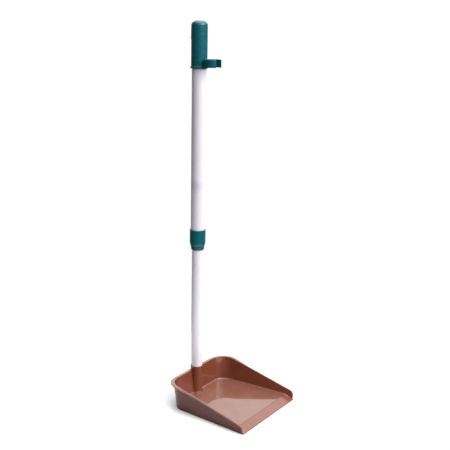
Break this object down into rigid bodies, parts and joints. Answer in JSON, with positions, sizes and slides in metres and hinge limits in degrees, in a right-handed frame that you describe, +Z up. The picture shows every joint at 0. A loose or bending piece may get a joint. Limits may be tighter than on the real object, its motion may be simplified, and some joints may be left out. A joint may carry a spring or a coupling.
{
  "type": "long-handled dustpan",
  "caption": "Stand-up dustpan: glossy moulded pan with a socket, telescopic twist-lock pole, and a moulded grip with a broom clip and hanging flap.",
  "frame": {"origin": "on the floor under the pole's axis, the centre of the socket's flat foot", "axes": "+Z up along the pole; the pan's mouth and the broom clip face -Y; X is the pan's width, and X = 0 is the plane of symmetry"},
  "size_m": [0.2072, 0.2117, 0.8],
  "materials": {
    "pan_plastic": "glossy moulded polypropylene, dusty brown",
    "white_coated_steel": "satin powder coat, cool white",
    "teal_plastic": "semi-gloss moulded polypropylene, deep teal",
    "lock_plastic": "natural moulded acetal",
    "zinc_plated_steel": "bright zinc plate"
  },
  "bodies": {
    "foot": {"pan": "pan_plastic", "lower_tube": "white_coated_steel", "socket_screw": "zinc_plated_steel", "lock_plug": "lock_plastic"},
    "lock": {"lock_expander": "lock_plastic"},
    "upper": {"upper_tube": "white_coated_steel", "guide_bush": "teal_plastic", "collar": "teal_plastic", "grip": "teal_plastic"}
  },
  "joints": [
    {"name": "pole_twist", "type": "hinge", "parent": "foot", "child": "lock", "pos_m": [0, 0, 0.383], "axis": [0, 0, 1], "range_deg": [0, 180]},
    {"name": "pole_slide", "type": "slide", "parent": "lock", "child": "upper", "axis": [0, 0, 1], "range_m": [-0.25, 0]}
  ]
}
